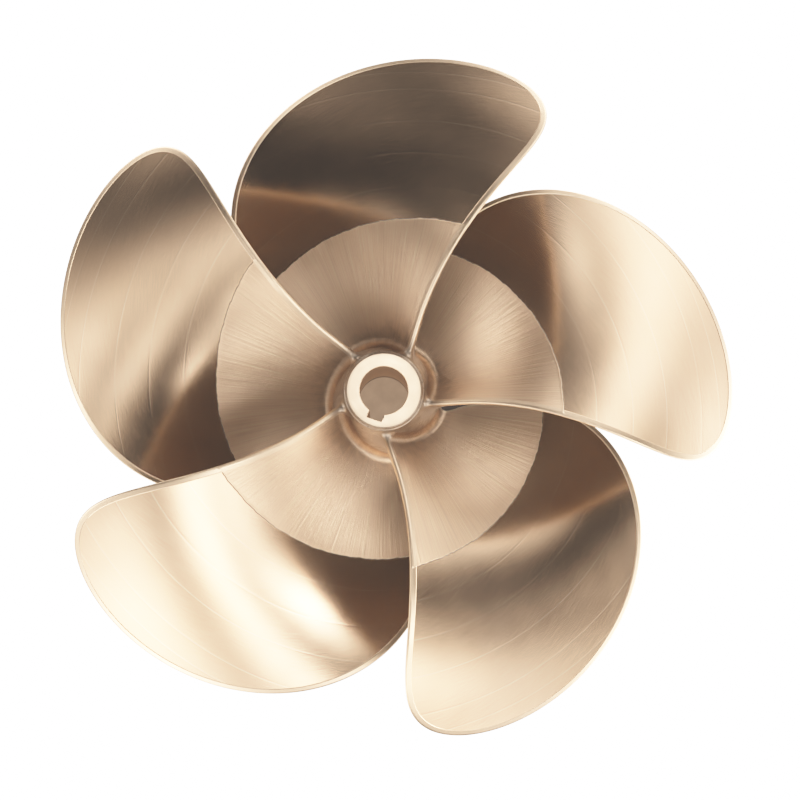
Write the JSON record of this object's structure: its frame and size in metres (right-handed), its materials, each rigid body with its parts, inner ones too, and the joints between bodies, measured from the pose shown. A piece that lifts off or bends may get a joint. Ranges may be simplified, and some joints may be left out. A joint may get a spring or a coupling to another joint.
{
  "type": "boat propeller",
  "caption": "Left-handed cast bronze boat propeller with wide skewed blades on a barrel hub, tapered shaft bore and keyway.",
  "frame": {"origin": "on the propeller's axis in the plane of the hub's forward face, at the large end of the tapered bore", "axes": "+Z along the bore axis, pointing aft, towards the nut end of the hub and the blades' pressure faces; +X and +Y across the disc, with the first blade's root at about 90 degrees from +X"},
  "size_m": [0.5917, 0.5926, 0.2067],
  "materials": {
    "bronze": "ground and brushed cast nickel aluminium bronze"
  },
  "bodies": {
    "root": {"hub": "bronze", "blade_1": "bronze", "blade_2": "bronze", "blade_3": "bronze", "blade_4": "bronze", "blade_5": "bronze"}
  },
  "joints": []
}
